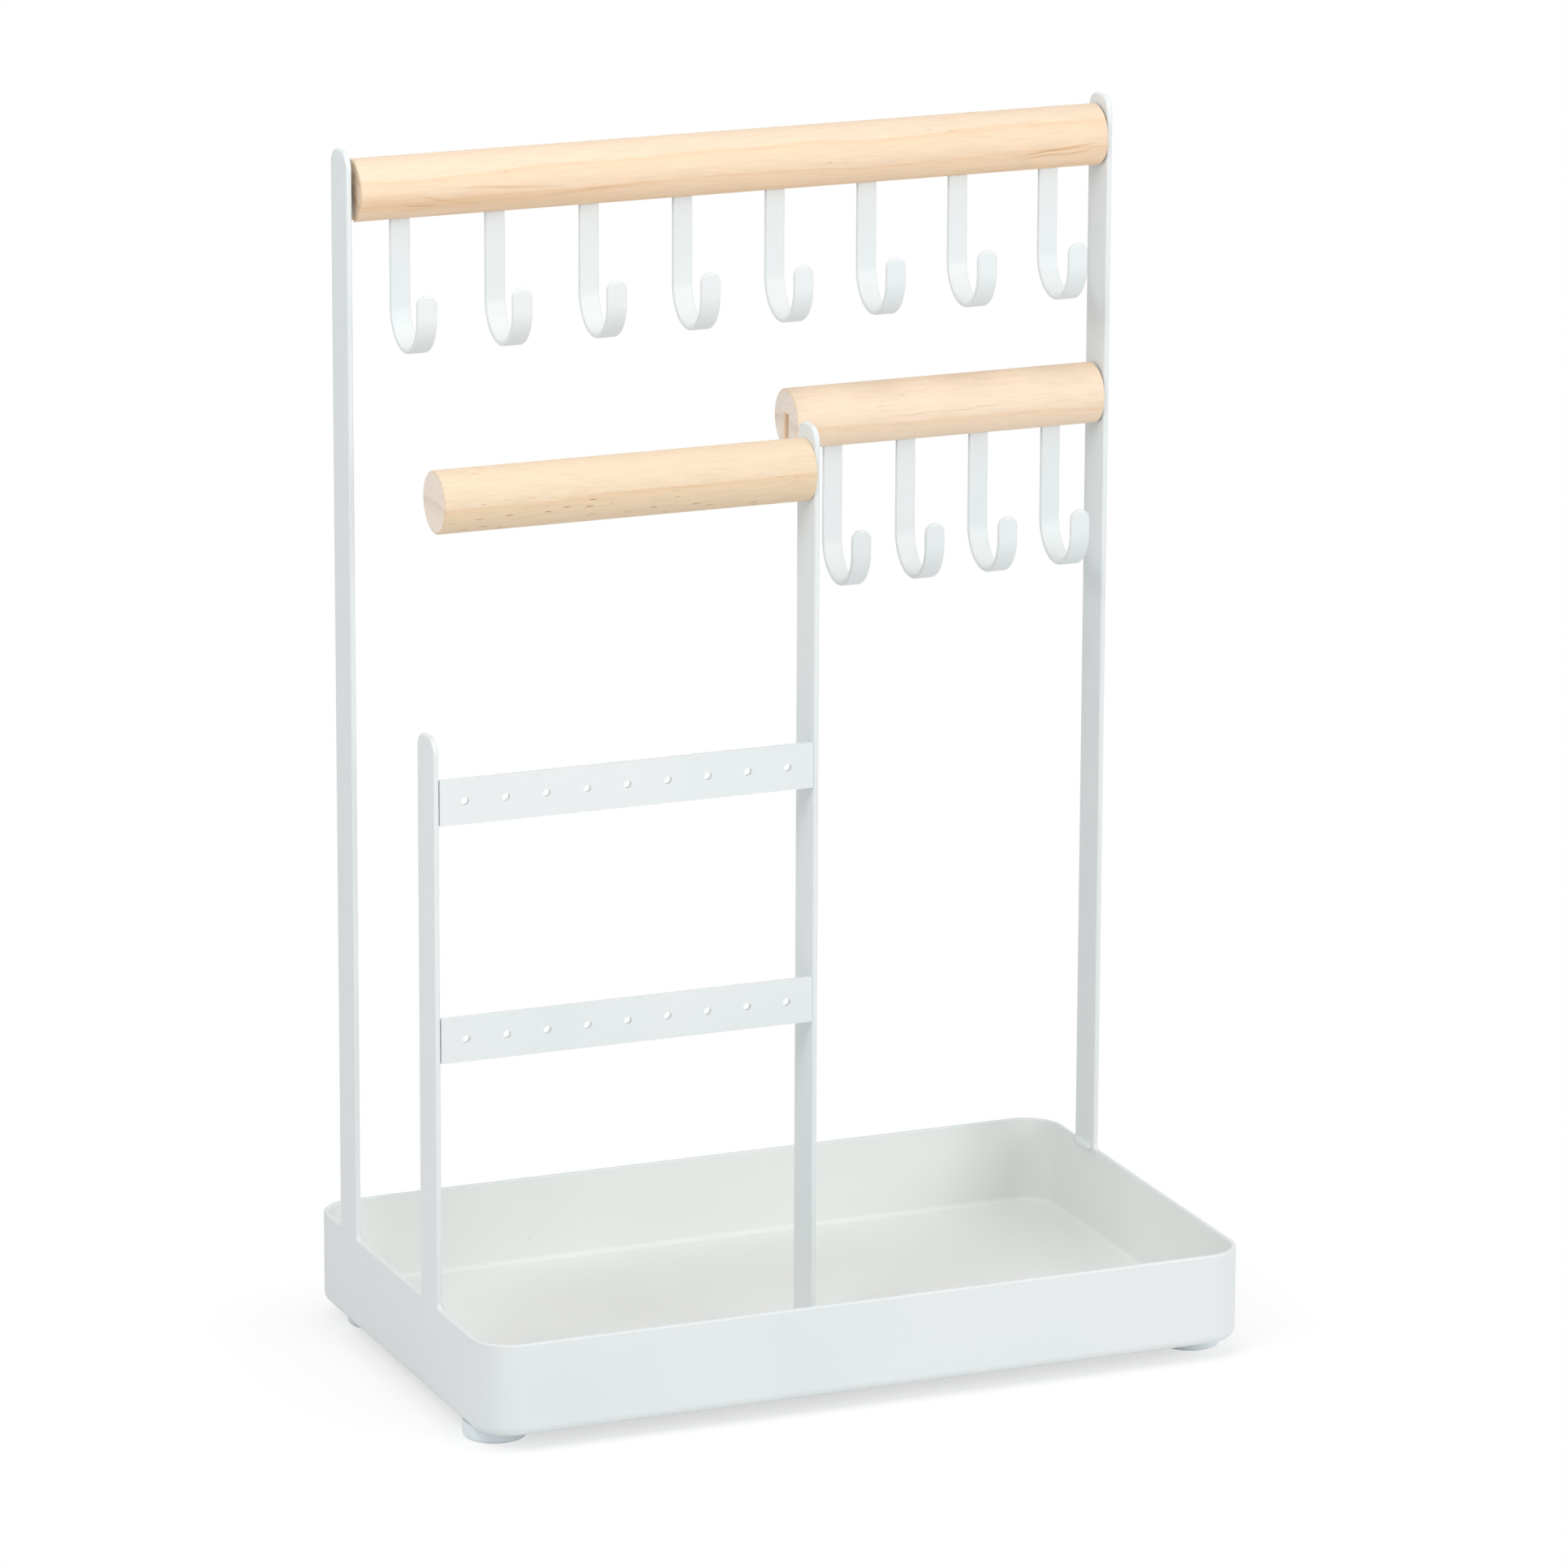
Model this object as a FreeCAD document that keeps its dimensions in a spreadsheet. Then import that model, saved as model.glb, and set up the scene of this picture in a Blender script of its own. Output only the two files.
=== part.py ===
import FreeCAD, Part
import math
import os
import re
import Sketcher
from FreeCAD import Rotation, Vector

# A white steel jewelry stand: a shallow tray, four flat posts, two perforated bars, three wooden dowels
# and two rows of flat hooks. Millimetres, +X right, +Y back, +Z up, with the origin on the floor under
# the tray's middle.

# Driving sizes in millimetres; a name that ends in count is a number of copies, one in share a ratio
SIZES = {
    # Pressed tray
    "tray_width": 198.0,
    "tray_depth": 120.0,
    "tray_height": 23.0,
    "tray_wall": 1.2,
    "tray_corner_radius": 10.0,
    "tray_edge_radius": 2.5,
    # Round pads stuck under the tray, their centres measured from the tray's outer faces
    "foot_diameter": 15.4,
    "foot_height": 4.0,
    "foot_edge_radius": 0.8,
    "front_foot_side_inset": 8.5,
    "rear_foot_side_inset": 11.5,
    "foot_end_inset": 16.0,
    # Flat strip that the posts and the perforated bars are cut from
    "strip_width": 11.0,
    "strip_thickness": 1.4,
    "strip_edge_radius": 0.4,
    # Posts: their middle lines, measured from the tray's rear and front faces, and how far their tops pass
    # what they carry
    "rear_post_inset": 26.0,
    "front_post_inset": 37.5,
    "post_tip_radius": 4.0,
    "rear_post_margin": 10.0,
    "front_left_post_margin": 10.0,
    "front_right_post_margin": 11.0,
    # Perforated bars between the front posts; rise is the height above the tray's rim
    "bar_length": 94.7,
    "lower_bar_rise": 66.0,
    "bar_spacing": 58.0,
    "hole_diameter": 2.0,
    "hole_inset": 6.55,
    "hole_count": 9,
    # Wooden dowels; the rear ones stop just short of the right post, the top one further from the left post
    "dowel_diameter": 15.0,
    "dowel_edge_radius": 0.5,
    "dowel_end_gap": 0.5,
    "top_dowel_left_gap": 1.7,
    "top_dowel_rise": 258.0,
    "rear_dowel_spacing": 64.5,
    "front_dowel_rise": 195.0,
    "middle_dowel_length": 81.6,
    "front_dowel_length": 93.5,
    # Steel rails in the grooves of the rear dowels; the middle one stops short of its dowel's free end
    "rail_height": 7.0,
    "rail_thickness": 1.2,
    "middle_rail_free_inset": 6.6,
    "groove_rise": 1.2,
    "groove_clearance": 0.1,
    # Hooks lapped on the rails; drop is from the dowel's axis to the lowest point of the hook
    "hook_width": 5.0,
    "hook_thickness": 1.2,
    "hook_bend_radius": 8.5,
    "hook_lip": 5.8,
    "hook_lap": 5.0,
    "hook_tip_share": 0.48,
    "top_hook_drop": 38.0,
    "top_hook_inset": 13.6,
    "top_hook_count": 8,
    "middle_hook_drop": 40.0,
    "middle_hook_inset": 12.1,
    "middle_hook_free_inset": 12.0,
    "middle_hook_count": 4,
    # Stud on the front right post that holds the front dowel; its bore is deeper by the spare
    "stud_diameter": 4.0,
    "stud_reach": 20.0,
    "stud_tip_radius": 0.6,
    "stud_clearance": 0.1,
    "stud_bore_spare": 1.0,
    # Weld beads at the bottoms of the posts
    "weld_radius": 1.4,
    "weld_length": 9.0,
    # How far a cut runs past the solid
    "cut_overrun": 1.0,
}
# Lengths under this share of the overrun count as nothing
FLAT_SHARE = 0.001
# Degrees
QUARTER_TURN = 90
HALF_TURN = 180

doc = FreeCAD.newDocument("jewelry_organizer")
sheet = doc.addObject("Spreadsheet::Sheet", "sizes")
for row, (alias, size) in enumerate(SIZES.items(), start=1):
    sheet.set(f"A{row}", alias)
    sheet.set(f"B{row}", str(size))
    sheet.setAlias(f"B{row}", alias)
doc.recompute()


def formula(text):
    # Turns each size's name in the text into a reference to its cell
    return re.sub(r"[a-z_]+", lambda word: "sizes." * (word.group() in SIZES) + word.group(), text)


def value(text):
    return float(sheet.evalExpression(formula(text)))


# Places that several pieces share
rim = "(foot_height + tray_height)"
tray_floor = "(foot_height + tray_wall)"
left_face = "(-tray_width / 2)"
post_inner = "(tray_width / 2 - strip_thickness)"
rear_line = "(tray_depth / 2 - rear_post_inset)"
front_line = "(front_post_inset - tray_depth / 2)"
side_frame_right = f"({left_face} + strip_thickness + bar_length)"
upper_bar_rise = "(lower_bar_rise + bar_spacing)"
top_axis = f"({rim} + top_dowel_rise)"
middle_axis = f"({top_axis} - rear_dowel_spacing)"
front_axis = f"({rim} + front_dowel_rise)"
middle_dowel_left = f"({post_inner} - dowel_end_gap - middle_dowel_length)"
hook_outer_radius = "(hook_bend_radius + hook_thickness)"


def new_body(label):
    body = doc.addObject("PartDesign::Body", label)
    body.Label = label
    return body


def place(piece, x, y, z):
    for axis, text in zip("xyz", (x, y, z)):
        piece.setExpression(f"Placement.Base.{axis}", formula(text))


def new_sketch(body, role, lift="0"):
    sketch = body.newObject("Sketcher::SketchObject", f"{body.Label}_sketch")
    plane = next(feature for feature in body.Origin.OriginFeatures if feature.Role == role)
    sketch.AttachmentSupport = (plane, [""])
    sketch.MapMode = "FlatFace"
    sketch.setExpression("AttachmentOffset.Base.z", formula(lift))
    return sketch


def bind(sketch, kind, places, name, text):
    index = sketch.addConstraint(Sketcher.Constraint(kind, *places, value(text)))
    sketch.renameConstraint(index, name)
    sketch.setExpression(f"Constraints.{name}", formula(text))


def hold_point(sketch, edge, end, name, x, y):
    # Fixes a point at its two formulas from the sketch's origin; a leading minus means the negative side
    for kind, text, axis in (("DistanceX", x, -2), ("DistanceY", y, -1)):
        if text == "0":
            sketch.addConstraint(Sketcher.Constraint("PointOnObject", edge, end, axis))
        elif text.startswith("-"):
            bind(sketch, kind, (edge, end, -1, 1), f"{name}_{kind}", text[1:])
        else:
            bind(sketch, kind, (-1, 1, edge, end), f"{name}_{kind}", text)


def draw_polygon(sketch, points):
    corners = [Vector(value(x), value(y), 0) for x, y in points]
    count = len(corners)
    for index, corner in enumerate(corners):
        sketch.addGeometry(Part.LineSegment(corner, corners[(index + 1) % count]), False)
    for index, (x, y) in enumerate(points):
        sketch.addConstraint(Sketcher.Constraint("Coincident", index, 2, (index + 1) % count, 1))
        hold_point(sketch, index, 1, f"corner{index}", x, y)


def draw_rectangle(sketch, left, right, bottom, top):
    draw_polygon(sketch, [(left, bottom), (right, bottom), (right, top), (left, top)])


def draw_circle(sketch, x, y, diameter):
    centre = Vector(value(x), value(y), 0)
    circle = sketch.addGeometry(Part.Circle(centre, Vector(0, 0, 1), value(diameter) / 2), False)
    hold_point(sketch, circle, 3, "centre", x, y)
    bind(sketch, "Diameter", (circle,), "diameter", diameter)


def pad(body, sketch, length, reverse=False):
    feature = body.newObject("PartDesign::Pad", f"{body.Label}_pad")
    feature.Profile = sketch
    feature.Reversed = reverse
    feature.setExpression("Length", formula(length))
    doc.recompute()
    return feature


def pocket(body, sketch, depth=None, reverse=False):
    # Cuts through all with no depth given, and stops where a cut takes nothing away
    before = body.Shape.Volume
    feature = body.newObject("PartDesign::Pocket", f"{body.Label}_pocket")
    feature.Profile = sketch
    feature.Reversed = reverse
    if depth is None:
        feature.Type = "ThroughAll"
    else:
        feature.setExpression("Length", formula(depth))
    doc.recompute()
    if body.Shape.Volume >= before:
        raise RuntimeError(f"a cut in {body.Label} removes nothing")
    return feature


def round_edges(body, base, radius, wanted):
    names = [f"Edge{index}" for index, edge in enumerate(base.Shape.Edges, start=1) if wanted(edge.BoundBox)]
    feature = body.newObject("PartDesign::Fillet", f"{body.Label}_fillet")
    feature.Base = (base, names)
    feature.setExpression("Radius", formula(radius))
    doc.recompute()
    return feature


def flat(span):
    # True where an edge's extent along an axis is nothing
    return abs(span) < value("cut_overrun") * FLAT_SHARE


pieces = []


def finished(piece):
    pieces.append(piece)
    return piece


# Tray: a pressed shell, open at the top
def make_tray():
    body = new_body("tray")
    outline = new_sketch(body, "XY_Plane")
    draw_rectangle(outline, "0", "tray_width", "0", "tray_depth")
    block = pad(body, outline, "tray_height")
    corners = round_edges(body, block, "tray_corner_radius", lambda box: not flat(box.ZLength))
    edge = round_edges(body, corners, "tray_edge_radius", lambda box: flat(box.ZMax))
    top = value("tray_height")
    opening = [f"Face{index}" for index, face in enumerate(edge.Shape.Faces, start=1)
               if flat(face.BoundBox.ZMin - top)]
    solid_volume = edge.Shape.Volume
    shell = body.newObject("PartDesign::Thickness", "tray_shell")
    shell.Base = (edge, opening)
    shell.Reversed = True
    shell.setExpression("Value", formula("tray_wall"))
    doc.recompute()
    if shell.Shape.Volume >= solid_volume:
        raise RuntimeError("the tray's shell lies outside its block")
    place(body, "-tray_width / 2", "-tray_depth / 2", "foot_height")
    finished(body)


# Feet: round pads with an eased lower edge
def make_foot(label, x, y):
    body = new_body(label)
    outline = new_sketch(body, "XY_Plane")
    draw_circle(outline, "0", "0", "foot_diameter")
    disc = pad(body, outline, "foot_height")
    round_edges(body, disc, "foot_edge_radius", lambda box: flat(box.ZMax))
    place(body, x, y, "0")
    finished(body)


# Posts: flat strips with rounded tops and eased edges, square at the bottom
def make_post(label, x, y, z, height):
    body = new_body(label)
    outline = new_sketch(body, "YZ_Plane")
    draw_rectangle(outline, "0", "strip_width", "0", height)
    strip = pad(body, outline, "strip_thickness")
    top = value(height)
    tip = round_edges(body, strip, "post_tip_radius",
                      lambda box: flat(box.ZMin - top) and not flat(box.XLength))
    round_edges(body, tip, "strip_edge_radius", lambda box: flat(box.XLength) and not flat(box.ZMax))
    place(body, x, f"{y} - strip_width / 2", z)
    finished(body)


# Perforated bars: flat strips with a row of small holes, their front faces level with the posts' front edges
def make_bar(label, rise):
    body = new_body(label)
    outline = new_sketch(body, "XZ_Plane")
    draw_rectangle(outline, "0", "bar_length", "0", "strip_width")
    strip = pad(body, outline, "strip_thickness", reverse=True)
    round_edges(body, strip, "strip_edge_radius", lambda box: flat(box.YLength) and flat(box.ZLength))
    hole = new_sketch(body, "XZ_Plane")
    draw_circle(hole, "hole_inset", "strip_width / 2", "hole_diameter")
    first = pocket(body, hole)
    row = body.newObject("PartDesign::LinearPattern", f"{label}_holes")
    row.Originals = [first]
    row.Direction = (hole, ["H_Axis"])
    row.setExpression("Length", formula("bar_length - 2 * hole_inset"))
    row.setExpression("Occurrences", formula("hole_count"))
    body.Tip = row
    doc.recompute()
    place(body, f"{left_face} + strip_thickness", f"{front_line} - strip_width / 2",
          f"{rim} + {rise} - strip_width / 2")
    finished(body)


# Dowels: round wooden rods along X with eased ends
def make_dowel(label, length, x, y, z):
    body = new_body(label)
    outline = new_sketch(body, "YZ_Plane")
    draw_circle(outline, "0", "0", "dowel_diameter")
    rod = pad(body, outline, length)
    round_edges(body, rod, "dowel_edge_radius", lambda box: flat(box.XLength))
    place(body, x, y, z)
    return finished(body)


def cut_groove(body):
    # The groove holds the hooks' shanks in front of the rail, and ends on the rail's upper edge
    groove = new_sketch(body, "YZ_Plane")
    draw_rectangle(groove, "-(hook_thickness + groove_clearance)", "rail_thickness + groove_clearance",
                   "-(dowel_diameter / 2 + cut_overrun)", "groove_rise")
    pocket(body, groove, reverse=True)


def bore_end(body, length):
    bore = new_sketch(body, "YZ_Plane", lift=length)
    draw_circle(bore, "0", "0", "stud_diameter + 2 * stud_clearance")
    pocket(body, bore, depth="stud_reach + stud_bore_spare")


# Hook rails: plain flat strips in the grooves
def make_rail(label, x, length, axis):
    rail = doc.addObject("Part::Box", label)
    rail.Label = label
    for side, text in (("Length", length), ("Width", "rail_thickness"), ("Height", "rail_height")):
        rail.setExpression(side, formula(text))
    place(rail, x, rear_line, f"{axis} + groove_rise - rail_height")
    finished(rail)


# Hooks: flat strips bent to a J, drawn about the middle of the bend
def draw_hook(sketch, shank):
    inner = value("hook_bend_radius")
    outer = value(hook_outer_radius)
    lip = value("hook_lip")
    rise = value(shank)
    circles = [Part.Circle(Vector(0, 0, 0), Vector(0, 0, 1), radius) for radius in (inner, outer)]
    arcs = [Part.ArcOfCircle(circle, math.pi, 2 * math.pi) for circle in circles]
    sides = [((-inner, 0), (-inner, lip)), ((-inner, lip), (-outer, lip)), ((-outer, lip), (-outer, 0)),
             ((outer, 0), (outer, rise)), ((outer, rise), (inner, rise)), ((inner, rise), (inner, 0))]
    sketch.addGeometry(arcs, False)
    sketch.addGeometry([Part.LineSegment(Vector(*a, 0), Vector(*b, 0)) for a, b in sides], False)
    inner_arc, outer_arc, lip_in, lip_top, lip_out, shank_out, shank_top, shank_in = range(8)
    joined = [(inner_arc, 1, lip_in, 1), (lip_in, 2, lip_top, 1), (lip_top, 2, lip_out, 1),
              (lip_out, 2, outer_arc, 1), (outer_arc, 2, shank_out, 1), (shank_out, 2, shank_top, 1),
              (shank_top, 2, shank_in, 1), (shank_in, 2, inner_arc, 2)]
    for ends in joined:
        sketch.addConstraint(Sketcher.Constraint("Coincident", *ends))
    for arc, text in ((inner_arc, "hook_bend_radius"), (outer_arc, hook_outer_radius)):
        sketch.addConstraint(Sketcher.Constraint("Coincident", arc, 3, -1, 1))
        for end in (1, 2):
            sketch.addConstraint(Sketcher.Constraint("PointOnObject", arc, end, -1))
        bind(sketch, "Radius", (arc,), f"radius{arc}", text)
    for line in (lip_in, lip_out, shank_out, shank_in):
        sketch.addConstraint(Sketcher.Constraint("Vertical", line))
    for line in (lip_top, shank_top):
        sketch.addConstraint(Sketcher.Constraint("Horizontal", line))
    bind(sketch, "DistanceY", (lip_in, 1, lip_in, 2), "lip", "hook_lip")
    bind(sketch, "DistanceY", (shank_out, 1, shank_out, 2), "shank", shank)


def make_hook(label, middle, axis, drop):
    body = new_body(label)
    shank = f"(groove_rise - rail_height + hook_lap + {drop} - {hook_outer_radius})"
    outline = new_sketch(body, "YZ_Plane")
    draw_hook(outline, shank)
    strip = pad(body, outline, "hook_width")
    lip = value("hook_lip")
    round_edges(body, strip, "hook_width * hook_tip_share",
                lambda box: flat(box.ZMin - lip) and flat(box.ZLength) and flat(box.XLength))
    place(body, f"{middle} - hook_width / 2", f"{rear_line} - {hook_outer_radius}",
          f"{axis} - {drop} + {hook_outer_radius}")
    finished(body)


def make_hooks(row, first, last, axis, drop, count):
    for index in range(count):
        share = index / (count - 1)
        make_hook(f"{row}_hook_{index + 1}", f"({first} + ({last} - {first}) * {share})", axis, drop)


# Stud: a plain steel rod along X with an eased tip, its square end on the post
def make_stud(label, x, y, z):
    body = new_body(label)
    outline = new_sketch(body, "YZ_Plane")
    draw_circle(outline, "0", "0", "stud_diameter")
    rod = pad(body, outline, "stud_reach")
    round_edges(body, rod, "stud_tip_radius", lambda box: flat(box.XMax))
    place(body, x, y, z)
    finished(body)


# Weld beads: half-round bars on the inner faces at the rim, and a quarter-round bar on the tray's floor
def make_weld(label, angle, rotation, x, y, z):
    bead = doc.addObject("Part::Cylinder", label)
    bead.Label = label
    bead.Angle = angle
    bead.setExpression("Radius", formula("weld_radius"))
    bead.setExpression("Height", formula("weld_length"))
    bead.Placement.Rotation = rotation
    place(bead, x, f"{y} + weld_length / 2", z)
    finished(bead)


make_tray()

foot_y = "(tray_depth / 2 - foot_end_inset)"
for end, y in (("front", f"-{foot_y}"), ("rear", foot_y)):
    foot_x = f"(tray_width / 2 - {end}_foot_side_inset)"
    for side, x in (("left", f"-{foot_x}"), ("right", foot_x)):
        make_foot(f"{end}_{side}_foot", x, y)

rear_post_height = "top_dowel_rise + rear_post_margin"
make_post("rear_left_post", left_face, rear_line, rim, rear_post_height)
make_post("rear_right_post", post_inner, rear_line, rim, rear_post_height)
make_post("front_left_post", left_face, front_line, rim,
          f"{upper_bar_rise} + strip_width / 2 + front_left_post_margin")
make_post("front_right_post", side_frame_right, front_line, tray_floor,
          "tray_height - tray_wall + front_dowel_rise + front_right_post_margin")

make_bar("lower_earring_bar", "lower_bar_rise")
make_bar("upper_earring_bar", upper_bar_rise)

top_dowel = make_dowel("top_dowel", f"2 * {post_inner} - top_dowel_left_gap - dowel_end_gap",
                       f"top_dowel_left_gap - {post_inner}", rear_line, top_axis)
middle_dowel = make_dowel("middle_dowel", "middle_dowel_length", middle_dowel_left, rear_line, middle_axis)
front_dowel = make_dowel("front_dowel", "front_dowel_length", f"{side_frame_right} - front_dowel_length",
                         front_line, front_axis)
for slotted in (top_dowel, middle_dowel):
    cut_groove(slotted)
bore_end(front_dowel, "front_dowel_length")

make_rail("top_hook_rail", f"-{post_inner}", f"2 * {post_inner}", top_axis)
make_rail("middle_hook_rail", f"{middle_dowel_left} + middle_rail_free_inset",
          "middle_dowel_length + dowel_end_gap - middle_rail_free_inset", middle_axis)
make_hooks("top", f"(top_hook_inset - {post_inner})", f"({post_inner} - top_hook_inset)",
           top_axis, "top_hook_drop", SIZES["top_hook_count"])
make_hooks("middle", f"({middle_dowel_left} + middle_hook_free_inset)", f"({post_inner} - middle_hook_inset)",
           middle_axis, "middle_hook_drop", SIZES["middle_hook_count"])

make_stud("front_dowel_stud", f"{side_frame_right} - stud_reach", front_line, front_axis)

lying = Rotation(Vector(1, 0, 0), QUARTER_TURN)
facing_right = Rotation(Vector(0, 1, 0), QUARTER_TURN).multiply(lying)
facing_left = Rotation(Vector(0, 1, 0), -QUARTER_TURN).multiply(lying)
weld_face = "(tray_width / 2 - max(strip_thickness; tray_wall))"
make_weld("rear_left_weld", HALF_TURN, facing_right, f"-{weld_face}", rear_line, rim)
make_weld("rear_right_weld", HALF_TURN, facing_left, weld_face, rear_line, rim)
make_weld("front_left_weld", HALF_TURN, facing_right, f"-{weld_face}", front_line, rim)
make_weld("front_right_weld", QUARTER_TURN, lying, f"{side_frame_right} + strip_thickness", front_line,
          tray_floor)

# Nothing is written unless every object of the document and every finished solid is sound
doc.recompute()
failed = [item.Name for item in doc.Objects if {"Invalid", "Error"} & set(item.State)]
if failed:
    raise RuntimeError(f"failed objects: {failed}")
for piece in pieces:
    if piece.Shape.isNull() or not piece.Shape.isValid() or len(piece.Shape.Solids) != 1:
        raise RuntimeError(f"unsound shape: {piece.Label}")

os.makedirs("parts", exist_ok=True)
for piece in pieces:
    piece.Shape.exportStep(f"parts/{piece.Label}.step")
print(f"{len(pieces)} pieces written")
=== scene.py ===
import math
import bmesh
import bpy
from mathutils import Matrix, Vector


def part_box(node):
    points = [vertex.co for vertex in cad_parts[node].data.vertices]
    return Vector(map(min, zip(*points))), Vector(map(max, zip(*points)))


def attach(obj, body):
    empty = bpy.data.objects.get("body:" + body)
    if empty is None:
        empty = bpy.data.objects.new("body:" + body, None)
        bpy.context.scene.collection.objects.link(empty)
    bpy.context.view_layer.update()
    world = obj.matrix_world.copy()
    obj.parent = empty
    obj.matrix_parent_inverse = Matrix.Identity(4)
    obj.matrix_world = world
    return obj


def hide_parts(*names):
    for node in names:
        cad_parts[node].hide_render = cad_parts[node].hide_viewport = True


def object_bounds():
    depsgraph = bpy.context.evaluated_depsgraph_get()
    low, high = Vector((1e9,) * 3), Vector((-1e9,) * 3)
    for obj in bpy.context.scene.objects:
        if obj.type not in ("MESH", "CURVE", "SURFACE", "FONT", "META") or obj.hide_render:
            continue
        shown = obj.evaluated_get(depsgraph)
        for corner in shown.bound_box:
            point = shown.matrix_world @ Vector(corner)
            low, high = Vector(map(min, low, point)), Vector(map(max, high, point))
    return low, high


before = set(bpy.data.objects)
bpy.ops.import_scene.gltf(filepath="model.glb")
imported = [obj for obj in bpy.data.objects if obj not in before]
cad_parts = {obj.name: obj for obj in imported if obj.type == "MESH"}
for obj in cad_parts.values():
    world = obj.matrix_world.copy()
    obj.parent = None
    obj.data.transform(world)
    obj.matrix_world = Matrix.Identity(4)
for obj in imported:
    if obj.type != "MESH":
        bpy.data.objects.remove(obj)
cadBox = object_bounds()
mm = 0.001
hair = 0.03 * mm  # keeps flush faces of two pieces from lying in one plane
print("frame loaded:", len(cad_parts), "nodes")


# node helpers

noiseSpan, noiseMiddle = (0.3, 0.7), 0.5  # where most values of a noise lie
mixFactor, mixFirst, mixSecond, mixed = 0, 6, 7, 2  # sockets of a Mix node for colours


def addNode(tree, kind, values=None, **settings):
    made = tree.nodes.new(kind)
    for name, setting in settings.items():
        setattr(made, name, setting)
    for name, value in (values or {}).items():
        made.inputs[name].default_value = value
    return made


def wire(tree, source, output, target, entry):
    tree.links.new(source.outputs[output], target.inputs[entry])


def feed(tree, given, target, entry):
    # given is a node with its output, or a plain value
    if isinstance(given, tuple) and isinstance(given[0], bpy.types.Node):
        wire(tree, given[0], given[1], target, entry)
    else:
        target.inputs[entry].default_value = given


def newMaterial(name):
    material = bpy.data.materials.new(name)
    material.use_nodes = True
    tree = material.node_tree
    surface = next(item for item in tree.nodes if item.type == "BSDF_PRINCIPLED")
    return material, tree, surface, addNode(tree, "ShaderNodeTexCoord")


def stretched(tree, spot, scale, offset=(0, 0, 0)):
    mapping = addNode(tree, "ShaderNodeMapping", {"Scale": scale, "Location": offset})
    wire(tree, spot, "Object", mapping, "Vector")
    return mapping


def centredOn(tree, spot, centre):
    centred = addNode(tree, "ShaderNodeVectorMath", {1: centre}, operation="SUBTRACT")
    wire(tree, spot, "Object", centred, 0)
    return centred


def noiseOn(tree, vector, scale, detail=2.0, roughness=0.5):
    made = addNode(tree, "ShaderNodeTexNoise", {
        "Scale": scale, "Detail": detail, "Roughness": roughness})
    wire(tree, vector, "Vector" if "Vector" in vector.outputs else "Object", made, "Vector")
    return made


def ramp(tree, source, output, stops):
    made = addNode(tree, "ShaderNodeValToRGB")
    band, stops = made.color_ramp, list(stops)
    while len(band.elements) < len(stops):
        band.elements.new(0.5)
    for element, (place, colour) in zip(band.elements, stops):
        element.position = place
        element.color = (*colour, 1)
    wire(tree, source, output, made, "Fac")
    return made


def greyRamp(tree, source, output, stops):
    return ramp(tree, source, output, [(place, (level, level, level)) for place, level in stops])


def mixColours(tree, first, second, factor, blend="MIX"):
    made = addNode(tree, "ShaderNodeMix", data_type="RGBA", blend_type=blend)
    for entry, given in ((mixFactor, factor), (mixFirst, first), (mixSecond, second)):
        feed(tree, given, made, entry)
    return made


def math2(tree, operation, first, second):
    made = addNode(tree, "ShaderNodeMath", operation=operation)
    for entry, given in enumerate((first, second)):
        feed(tree, given, made, entry)
    return made


def varyRoughness(tree, surface, noise, levels):
    band = greyRamp(tree, noise, "Fac", zip(noiseSpan, levels))
    wire(tree, band, "Color", surface, "Roughness")


def roughen(tree, surface, source, output, strength, depth):
    bump = addNode(tree, "ShaderNodeBump", {"Strength": strength, "Distance": depth})
    wire(tree, source, output, bump, "Height")
    wire(tree, bump, "Normal", surface, "Normal")


# white powder coat: satin, with a faint orange peel and a few dust nibs; the tray's inside gets a lighter,
# warmer copy of the same coat as painted light

coat = {"outside": ((0.79, 0.835, 0.845), (0.825, 0.86, 0.865)),
        # inside: the same coat painted lighter and warmer, as painted light falling inside the tray
        "inside": ((0.848, 0.865, 0.845), (0.87, 0.883, 0.866)),
        "toneScale": 18, "toneSpan": (0.35, 0.65), "sheenScale": 1100 / 6, "roughness": (0.40, 0.48),
        "peelScale": 1100, "peelStrength": 0.35, "peelDepth": 0.012 * mm,
        "nibScale": 150, "nibCut": 0.72, "nibSize": 0.035, "nibFade": 0.5, "nibColour": (0.62, 0.62, 0.60)}


def coatMaterial(name, tones):
    material, tree, surface, spot = newMaterial(name)
    tone = ramp(tree, noiseOn(tree, spot, coat["toneScale"]), "Fac", zip(coat["toneSpan"], tones))
    cells = addNode(tree, "ShaderNodeTexVoronoi", {"Scale": coat["nibScale"]})
    wire(tree, spot, "Object", cells, "Vector")
    chosen = math2(tree, "GREATER_THAN", (cells, "Color"), coat["nibCut"])
    near = math2(tree, "LESS_THAN", (cells, "Distance"), coat["nibSize"])
    nib = math2(tree, "MULTIPLY", (chosen, 0), (near, 0))
    nibFade = math2(tree, "MULTIPLY", (nib, 0), coat["nibFade"])
    colour = mixColours(tree, (tone, "Color"), (*coat["nibColour"], 1), (nibFade, 0))
    wire(tree, colour, mixed, surface, "Base Color")
    varyRoughness(tree, surface, noiseOn(tree, spot, coat["sheenScale"]), coat["roughness"])
    peel = noiseOn(tree, spot, coat["peelScale"], detail=1.0)
    height = math2(tree, "ADD", (peel, "Fac"), (nib, 0))
    roughen(tree, surface, height, 0, coat["peelStrength"], coat["peelDepth"])
    return material


whiteCoat = coatMaterial("whiteCoat", coat["outside"])
# the tray's inside copy of the coat: its lighter, warmer tones are painted light
trayCoatPaintedLight = coatMaterial("trayCoatPaintedLight", coat["inside"])


# pine: wide soft growth rings round a pith beside the rod, short fibres, brown streaks and resin dashes

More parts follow.
